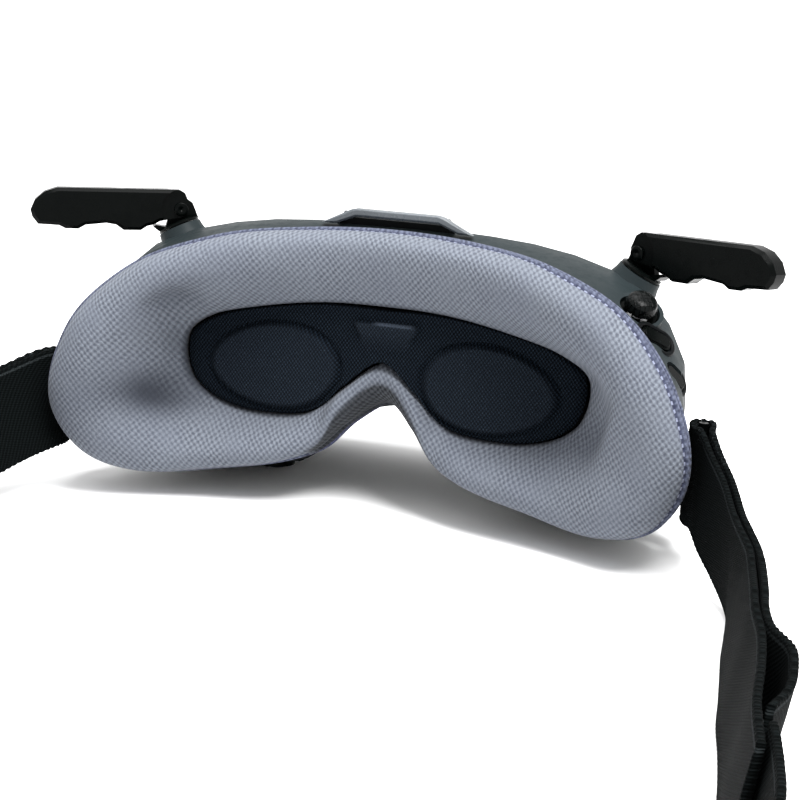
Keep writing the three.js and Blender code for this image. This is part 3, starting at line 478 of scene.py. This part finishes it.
# Soft blobs on the cushion: strength, centre and size in mm, then lean. DENTS press it in; the second list is
# painted shade that darkens its hollows.
DENTS = [(3.4, (-52, -14, 17), (8, 12, 4), 0.5), (2.4, (-57, -9, -8), (7, 14, 4.5), -0.4),
         (1.5, (60, -14, -2), (3.0, 12, 9), -0.35), (-1.2, (64.5, -18, -1), (3.0, 12, 9), -0.35),
         (0.9, (57, -12, 9), (4, 10, 4), 0.4)]
SHADE_POCKETS = [(0.92, (-59, -12, -8.5), (10, 18, 5.5), -0.25), (0.4, (-51, -14, 17), (6, 14, 4), 0.5),
           (0.25, (58, -8, -7), (4, 14, 6)), (0.42, (-74, -20, -10), (9, 16, 11))]


def sum_of_blobs(points, blobs):
    total = 0.0
    for strength, *place in blobs:
        total = total + strength * blob(points, *place)
    return total


def make_cushion():
    rows, arc, top, seam, crest, opening = cushion_sections()
    count = len(seam)
    across = np.gradient(rows, axis=0)
    around = np.roll(rows, -1, axis=1) - np.roll(rows, 1, axis=1)
    normal = np.cross(across, around)
    normal /= np.linalg.norm(normal, axis=2, keepdims=True)
    if normal[top, :, 1].mean() > 0:
        normal = -normal
    flat = rows.reshape(-1, 3)
    dent = sum_of_blobs(flat, DENTS)
    # painted shade: darkness summed from the blobs in the cushion's hollows
    pocket_shade = sum_of_blobs(flat, SHADE_POCKETS)
    pocket_shade = np.clip(pocket_shade, 0, 0.9).reshape(rows.shape[:2])
    dent = dent.reshape(rows.shape[:2])
    wave = 0.25 * np.sin(rows[:, :, 0] * 0.19 + 1.3) * np.sin(rows[:, :, 2] * 0.23 + 0.4)
    fade = step01(arc / 6.0) * step01((arc[-1] - arc) / 5.0)
    groove = 0.45 * np.exp(-((arc - 1.5) / 0.55) ** 2) + 0.4 * np.exp(-((arc - 4.3) / 0.6) ** 2)
    roll = 0.35 * np.exp(-((arc - 2.9) / 0.9) ** 2)
    push = (roll - groove) * step01(arc / 0.8) - dent * fade + wave * fade
    shaped = rows + normal * push[:, :, None]

    outer = seam[:, [0, 2]] - crest[:, [0, 2]]
    outer /= np.linalg.norm(outer, axis=1, keepdims=True)
    inner = crest[:, [0, 2]] - opening[:, [0, 2]]
    inner /= np.linalg.norm(inner, axis=1, keepdims=True)
    reach = arc[top] - arc
    side = np.where(reach[:, :, None] > 0, outer[None], inner[None])
    along_cloth = crest[None][:, :, [0, 2]] + side * reach[:, :, None]
    cloth_xz = 0.7 * rows[:, :, [0, 2]] + 0.3 * along_cloth

    lengths = np.linalg.norm(np.roll(seam, -1, axis=0) - seam, axis=1)
    along = np.broadcast_to(np.cumsum(lengths), arc.shape)
    nose_part = step01((19.5 - np.abs(seam[:, 0])) / 3.0) * (seam[:, 2] < 0)
    below = step01((arc[top] - 1.6 - arc) / 1.2)
    lining = nose_part[None] * below
    # painted shade: the cushion is darkened over its last 1.6 mm at the opening, where it meets the cover,
    # and in its hollows
    unshaded_past_rim = step01((arc[-1] - arc) / 1.6)
    shade = np.maximum(0.75 * (1 - unshaded_past_rim) * (1 - nose_part[None]), pocket_shade)
    hem = opening + [0, 3, 0]
    back = seam + (opening - seam) * [0.2, 0, 0.2]
    verts = np.concatenate([shaped.reshape(-1, 3), hem, back])
    cloth = np.dstack([cloth_xz, lining]).reshape(-1, 3)
    edge = np.dstack([along, np.where(nose_part[None] > 0.5, 20.0, arc), shade]).reshape(-1, 3)
    cloth = np.concatenate([cloth, cloth[-count:], cloth[:count]])
    edge = np.concatenate([edge, edge[-count:], edge[:count]])
    faces = outward(verts, grid_faces(len(rows) + 2, count, close_rows=True))
    piece = mesh_piece("cushion", row(verts), faces, attributes={"cloth": cloth, "edge": edge},
                       material=FINISH["cushion"])
    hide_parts("face_foam")


def tube_ring(name, ring, radius, sides, material, attributes=None, body="housing"):
    """A closed tube along a ring of points."""
    before, after = np.roll(ring, 1, axis=0), np.roll(ring, -1, axis=0)
    tangent = after - before
    tangent /= np.linalg.norm(tangent, axis=1, keepdims=True)
    out = np.cross(tangent, np.array([0, 1.0, 0]))
    out /= np.linalg.norm(out, axis=1, keepdims=True)
    other = np.cross(tangent, out)
    rings = [ring + radius * (math.cos(a) * out + math.sin(a) * other)
             for a in np.arange(sides) * 2 * math.pi / sides]
    verts = np.concatenate(rings)
    faces = outward(verts, grid_faces(sides, len(ring), close_rows=True))
    return mesh_piece(name, row(verts), faces, body=body, material=material, attributes=attributes)


def make_piping():
    """Dark blue edge binding where the cushion meets the housing."""
    seam = face_ring(0)
    centre = seam.mean(axis=0)
    inward = centre - seam
    inward[:, 1] = 0
    inward /= np.linalg.norm(inward, axis=1, keepdims=True)
    ring = seam + inward * 0.75 + [0, 0.25, 0]
    n = Nodes("binding")
    threads = n.noise(n.place(), 1600.0, 2.0)
    finish = n.set(color=n.mix(n.ramp(threads, 0.3, 0.7), (0.010, 0.011, 0.03), (0.05, 0.055, 0.12)),
                   rough=0.7, normal=n.bump(threads, 0.0001, 0.6))
    tube_ring("cushion_binding", ring, 0.6, 8, finish)


make_cushion()
make_piping()

# ---- lens cover ---------------------------------------------------------------------
COVER_BACK = -1.4
COVER_FRONT = 2.0


def cover_height(x, z):
    """How far the cover's knit face stands towards the wearer, and how pale it is drawn: paler pads, a boss
    paler towards its top, and a painted highlight along the boss's top edge.
    """
    share = (np.abs(x) - 29.6) / 18.0
    middle = 0.6 - 0.5 * share
    tall = 11.4 * (1 - 0.1 * share)
    r = np.sqrt(share**2 + ((z - middle) / tall) ** 2)
    pad = 1.35 * step01((1.0 - r) / 0.09) + 0.3 * step01((0.9 - r) / 0.9)
    groove = 0.8 * np.exp(-(((r - 1.035) / 0.03) ** 2))
    rise = np.clip((z - 7.4) / 7.2, 0, 1)
    width = 6.2 + 3.0 * rise
    inside = step01((width - np.abs(x - 1.0)) / 1.1) * step01((15.0 - z) / 0.5)
    boss = 1.55 * rise * inside
    # painted highlight: a thin pale line along the top edge of the boss
    ledge_highlight = np.exp(-(((z - 14.75) / 0.3) ** 2)) * step01((6.4 - np.abs(x - 3.2)) / 3.0)
    pale = np.maximum(0.06 * step01((1.0 - r) / 0.06), 0.10 * rise * inside) + 0.9 * ledge_highlight
    return np.maximum(pad, boss) - groove, pale


def make_lens_cover():
    ring = face_ring(6, PER_SPAN)
    count = len(ring)
    hub = np.array([0.0, 0.0, 11.0])
    edge = ring + (hub - ring) / np.linalg.norm(hub - ring, axis=1, keepdims=True) * 0.9
    steps = 70
    shares = np.linspace(1, 0.02, steps)
    rows = [edge * [1, 0, 1] + [0, COVER_FRONT, 0], edge * [1, 0, 1] + [0, COVER_BACK + 0.9, 0]]
    marks = [np.zeros(count), np.zeros(count)]
    for share in shares:
        points = hub + (edge - hub) * share
        lift, pale = cover_height(points[:, 0], points[:, 2])
        round_off = 0.9 * (1 - step01((1 - share) * 45 / 1.6))
        points[:, 1] = COVER_BACK - lift + round_off
        rows.append(points)
        marks.append(pale)
    verts = np.concatenate(rows)
    faces = grid_faces(len(rows), count)
    verts = np.vstack([verts, [0, COVER_FRONT, 11.0], [0, rows[-1][:, 1].mean(), 11.0]])
    front, back = len(verts) - 2, len(verts) - 1
    last = (len(rows) - 1) * count
    faces += [(front, i, (i + 1) % count) for i in range(count)]
    faces += [(back, last + (i + 1) % count, last + i) for i in range(count)]
    cloth = np.column_stack([verts[:, 0], verts[:, 2], np.append(np.concatenate(marks), [0, 0])])
    piece = mesh_piece("knit_lens_cover", row(verts), outward(verts, faces), body="cover",
                       attributes={"cloth": cloth}, material=FINISH["knit"])
    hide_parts("lens_cover")


make_lens_cover()

# ---- small fittings -----------------------------------------------------------------
def prism(name, outline, near, far, finish, slot):
    """A flat piece with an (x, z) outline between two depths."""
    n = len(outline)
    verts = [(x, y, z) for y in (near, far) for x, z in outline]
    faces = [tuple(range(n)), tuple(range(2 * n - 1, n - 1, -1))]
    faces += [(i, i + n, (i + 1) % n + n, (i + 1) % n) for i in range(n)]
    piece = mesh_piece(name, row(verts), outward(verts, faces), material=finish)
    piece.data.shade_flat()
    return piece


KEY_STRAIGHT = 2.2     # half the straight run of an oval key, in mm


def oval_bezel(name, point, normal):
    """Thin dark rim round an oval key."""
    point, normal = np.array(point, float), np.array(normal, float)
    normal /= np.linalg.norm(normal)
    across = np.array([0.6, 0.6, -0.5])
    across -= normal * (across @ normal)
    across /= np.linalg.norm(across)
    side = np.cross(normal, across)
    count = 40
    angles = 2 * math.pi * (np.arange(count) + 0.5) / count
    rings = []
    for radius, height in ((2.62, -1.2), (3.7, -1.2), (3.7, 0.12), (3.45, 0.3), (2.85, 0.3), (2.62, 0.12)):
        ends = np.where(np.cos(angles) > 0, KEY_STRAIGHT, -KEY_STRAIGHT)
        ring = point + np.outer(ends + radius * np.cos(angles), across)
        ring = ring + np.outer(radius * np.sin(angles), side)
        rings.append(ring + normal * height)
    verts = np.concatenate(rings)
    faces = outward(verts, grid_faces(len(rings), count, close_rows=True))
    mesh_piece(name, row(verts), faces, material=FINISH["inner_plastic"])


VENT_DEPTH = (7.4, 8.3)     # where the vent insert starts and ends along Y, in mm
prism("vent_recess", [(-17.5, 37.6), (15.5, 37.6), (14.4, 40.7), (-16.4, 40.7)], *VENT_DEPTH,
      FINISH["inner_plastic"], "inner_plastic")
prism("vent_edge", [(-16.3, 40.75), (14.3, 40.75), (13.4, 42.3), (-15.2, 42.3)], *VENT_DEPTH,
      GRILLE, "inner_plastic")


# The pin cap from its rim to its middle: radius, and height along the pin, in mm.
CAP_PROFILE = ((1.9, 2.26), (1.9, 2.85), (1.7, 3.02), (0.02, 3.02), (0.02, 2.26))


def pin_cap(side):
    """Flush disc that closes the hinge bore on the wearer's side of an antenna blade."""
    axis = np.array([-0.49 * side, -0.87, 0.0])
    axis /= np.linalg.norm(axis)
    out = np.array([0.87 * side, -0.49, 0.0])
    angles = 2 * math.pi * np.arange(24) / 24
    spokes = np.outer(np.cos(angles), out) + np.outer(np.sin(angles), [0, 0, 1.0])
    hub = np.array([63.5 * side, 10.0, 38.4])
    rings = [hub + axis * h + spokes * r for r, h in CAP_PROFILE]
    faces = outward(np.concatenate(rings), grid_faces(len(rings), 24, close_rows=True))
    name = "right" if side > 0 else "left"
    mesh_piece(f"pin_cap_{name}", row(np.concatenate(rings)), faces, body=f"blade_{name}",
               material=FINISH["black_plastic"])


pin_cap(1)
pin_cap(-1)
oval_bezel("back_key_rim", (71.3, -12, 20.4), (0.66, -0.42, 0.62))
oval_bezel("shortcut_key_rim", (76.4, -12, 11.5), (0.86, -0.3, 0.4))

# ---- head strap ---------------------------------------------------------------------
STRAP_WIDTH = 25.0
WEBBING = 1.6
ANCHOR_X, ANCHOR_Y = 83.9, -1.0
ANCHOR_Z = -12.7
BEND = 2.6
LOW = FLOOR_Z + STRAP_WIDTH / 2
STRAP_BACK_Y = -229.6


def band_piece(name, route, side, body, replaced, patches):
    """Webbing standing on edge along [x, y, centre height, lean] points; patches are ends that carry painted
    glints.
    """
    pts = np.array([[p[0], p[1], p[2], p[3] if len(p) > 3 else 0.0] for p in route], float)
    spans = len(pts) - 1
    per = 14
    places = np.arange(spans * per + 1) / per
    centre = spline(pts[:, :3], False, places)
    lean = spline(np.column_stack([pts[:, :2], pts[:, 3]]), False, places)[:, 2]
    centre[:, 2] = np.maximum(centre[:, 2], LOW)
    tangent = np.gradient(centre, axis=0)
    tangent[:, 2] = 0
    tangent /= np.linalg.norm(tangent, axis=1, keepdims=True)
    across = np.column_stack([tangent[:, 1], -tangent[:, 0], np.zeros(len(centre))])
    height = np.sqrt(STRAP_WIDTH**2 - lean**2)
    up = np.column_stack([lean * np.sign(centre[:, 0] + 1e-9), np.zeros(len(centre)), height]) / STRAP_WIDTH
    length = np.append(0, np.cumsum(np.linalg.norm(np.diff(centre, axis=0), axis=1)))
    half, thick = STRAP_WIDTH / 2, WEBBING / 2
    heights = [-half, -half + 0.12, -half + 0.5, -half + 1.3, -half + 2.2, -6, 0, 6,
               half - 2.2, half - 1.3, half - 0.5, half - 0.12, half]
    widths = [0.35, 0.7, 0.95, 0.78, 0.9, 1, 1, 1, 0.9, 0.78, 0.95, 0.7, 0.35]
    profile = list(zip(heights, widths))
    profile += [(h, -w) for h, w in reversed(profile)]
    scallop = 0.5 + 0.5 * np.sin(length * 2 * math.pi / 1.9)
    columns, cloth = [], []
    # mask of the ends that carry painted glints
    strap_glint = np.zeros(len(length))
    for start, end in patches:
        at = length / length[-1]
        strap_glint = np.maximum(strap_glint, step01((at - start) / 0.01) * step01((end - at) / 0.01))
    for h, w in profile:
        edge = step01((abs(h) - (half - 1.6)) / 1.4)
        reach = h - math.copysign(1, h) * edge * 0.35 * scallop
        columns.append(centre + up * reach[:, None] + across * thick * w)
        cloth.append(np.column_stack([length, np.full(len(length), h), strap_glint]))
    n = len(length)
    verts = np.array(columns).transpose(1, 0, 2).reshape(-1, 3)
    cloth = np.array(cloth).transpose(1, 0, 2).reshape(-1, 3)
    k = len(profile)
    faces = grid_faces(n, k)
    faces += [tuple(range(k)), tuple(reversed(range((n - 1) * k, n * k)))]
    if side < 0:
        verts[:, 0] *= -1
    piece = mesh_piece(name, row(verts), outward(verts, faces), body=body,
                       attributes={"cloth": cloth}, material=FINISH["webbing"])
    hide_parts(replaced)
    return piece


def side_route(climb):
    """The side strap's way to the anchor, round its bar and back."""
    x, y = ANCHOR_X, ANCHOR_Y
    a, b, c, d, e, f, g = [(LOW + rise, lean) for rise, lean in climb]
    inner = [
        (106.8, -166, LOW, 3.4), (105.2, -150, LOW, 3.6), (104.7, -133, LOW, 4), (103.7, -118, LOW, 4.4),
        (102.1, -105, LOW, 4), (101.3, -93, LOW, 3.6), (100.3, -80, *a), (99.3, -68, *b),
        (97.8, -55, *c), (96.1, -43, *d), (92.2, -31.3, *e), (87.6, -22, *f),
        (84.5, -14.6, *g), (82.5, -8.6, ANCHOR_Z),
    ]
    bend = [
        (x - BEND, y - 2, ANCHOR_Z), (x - BEND * 0.7, y + BEND * 0.75, ANCHOR_Z), (x, y + BEND, ANCHOR_Z),
        (x + BEND * 0.7, y + BEND * 0.75, ANCHOR_Z), (x + BEND, y - 2, ANCHOR_Z),
    ]
    outer = [
        (86.7, -8, ANCHOR_Z), (87.1, -13.7, *g), (89.7, -21, *f), (94.1, -30.4, *e),
        (98, -42.4, *d), (99.8, -54.8, *c), (101.2, -68, *b), (102.4, -80, *a),
        (103.2, -93, LOW, 3.8), (104, -105, LOW, 3.8), (105.6, -114, LOW, 3.8), (109, -122.4, LOW, 4),
        (109.8, -131, LOW, 4), (109.4, -142, LOW, 4), (107.4, -151, LOW, 3.4),
    ]
    return inner + bend + outer


def make_straps():
    right = [(0, 3.2), (0, 2.7), (0, 0.4), (0.8, -1.6), (4.6, -0.6), (8.8, 0), (12, 0)]
    left = [(0, 6), (0, 10), (2, 14), (4.4, 17), (7.6, 17), (10.4, 14), (12.2, 5)]
    band_piece("side_webbing_right", side_route(right), 1, "housing", "side_strap_right", [(0.455, 0.62)])
    band_piece("side_webbing_left", side_route(left), -1, "housing", "side_strap_left", [(0.47, 0.6)])
    back = STRAP_BACK_Y + WEBBING / 2
    half = [
        (108.1, -157, LOW, 3.4), (109.4, -169, LOW, 3.4), (111.2, -183, LOW, 1.2), (110.4, -197, LOW, 0),
        (105.4, -208.5, LOW, 0), (95, -217.6, LOW, 0), (79, -224.2, LOW, 0), (58, back - 0.6, LOW, 0),
        (30, back, LOW, 0),
    ]
    mirrored = [(-x, y, z, lean) for x, y, z, lean in reversed(half)]
    band_piece("rear_webbing", [*half, (0, back, LOW, 0), *mirrored], 1, "housing", "back_strap", [])


make_straps()


# ---- stage --------------------------------------------------------------------------
def make_stage():
    n = Nodes("pale_floor")
    tone = n.noise(n.place(), 3.0, 2.0)
    finish = n.set(color=n.mix(tone, (0.86, 0.86, 0.86), (0.89, 0.89, 0.89)), rough=0.8, specular=0.2)
    data = bpy.data.meshes.new("floor")
    size = 6.0
    corners = [(-size, -size, 0), (size, -size, 0), (size, size, 0), (-size, size, 0)]
    data.from_pydata(corners, [], [(0, 1, 2, 3)])
    data.materials.append(finish)
    floor = bpy.data.objects.new("floor", data)
    floor.location = (0, 0, -0.0002)
    bpy.context.scene.collection.objects.link(floor)
    world = bpy.data.worlds.new("studio")
    world.use_nodes = True
    background = next(x for x in world.node_tree.nodes if x.type == "BACKGROUND")
    background.inputs["Color"].default_value = (1.0, 1.0, 1.0, 1.0)
    background.inputs["Strength"].default_value = 1.6
    bpy.context.scene.world = world
    for name, place, size, power in [
        ("key", (0.35, -0.25, 0.9), 0.5, 24.0),
        ("top", (-0.15, 0.1, 1.0), 0.6, 8.0),
    ]:
        data = bpy.data.lights.new(name, "AREA")
        data.size = size
        data.energy = power
        lamp = bpy.data.objects.new(name, data)
        bpy.context.scene.collection.objects.link(lamp)
        aim = np.array([0, 0.08, 0.04]) - np.array(place)
        back = -aim / np.linalg.norm(aim)
        side = np.cross([0, 0, 1.0], back)
        side /= np.linalg.norm(side)
        up = np.cross(back, side)
        turn = Matrix([[side[i], up[i], back[i]] for i in range(3)]).to_4x4()
        lamp.matrix_world = Matrix.Translation(place) @ turn


make_stage()
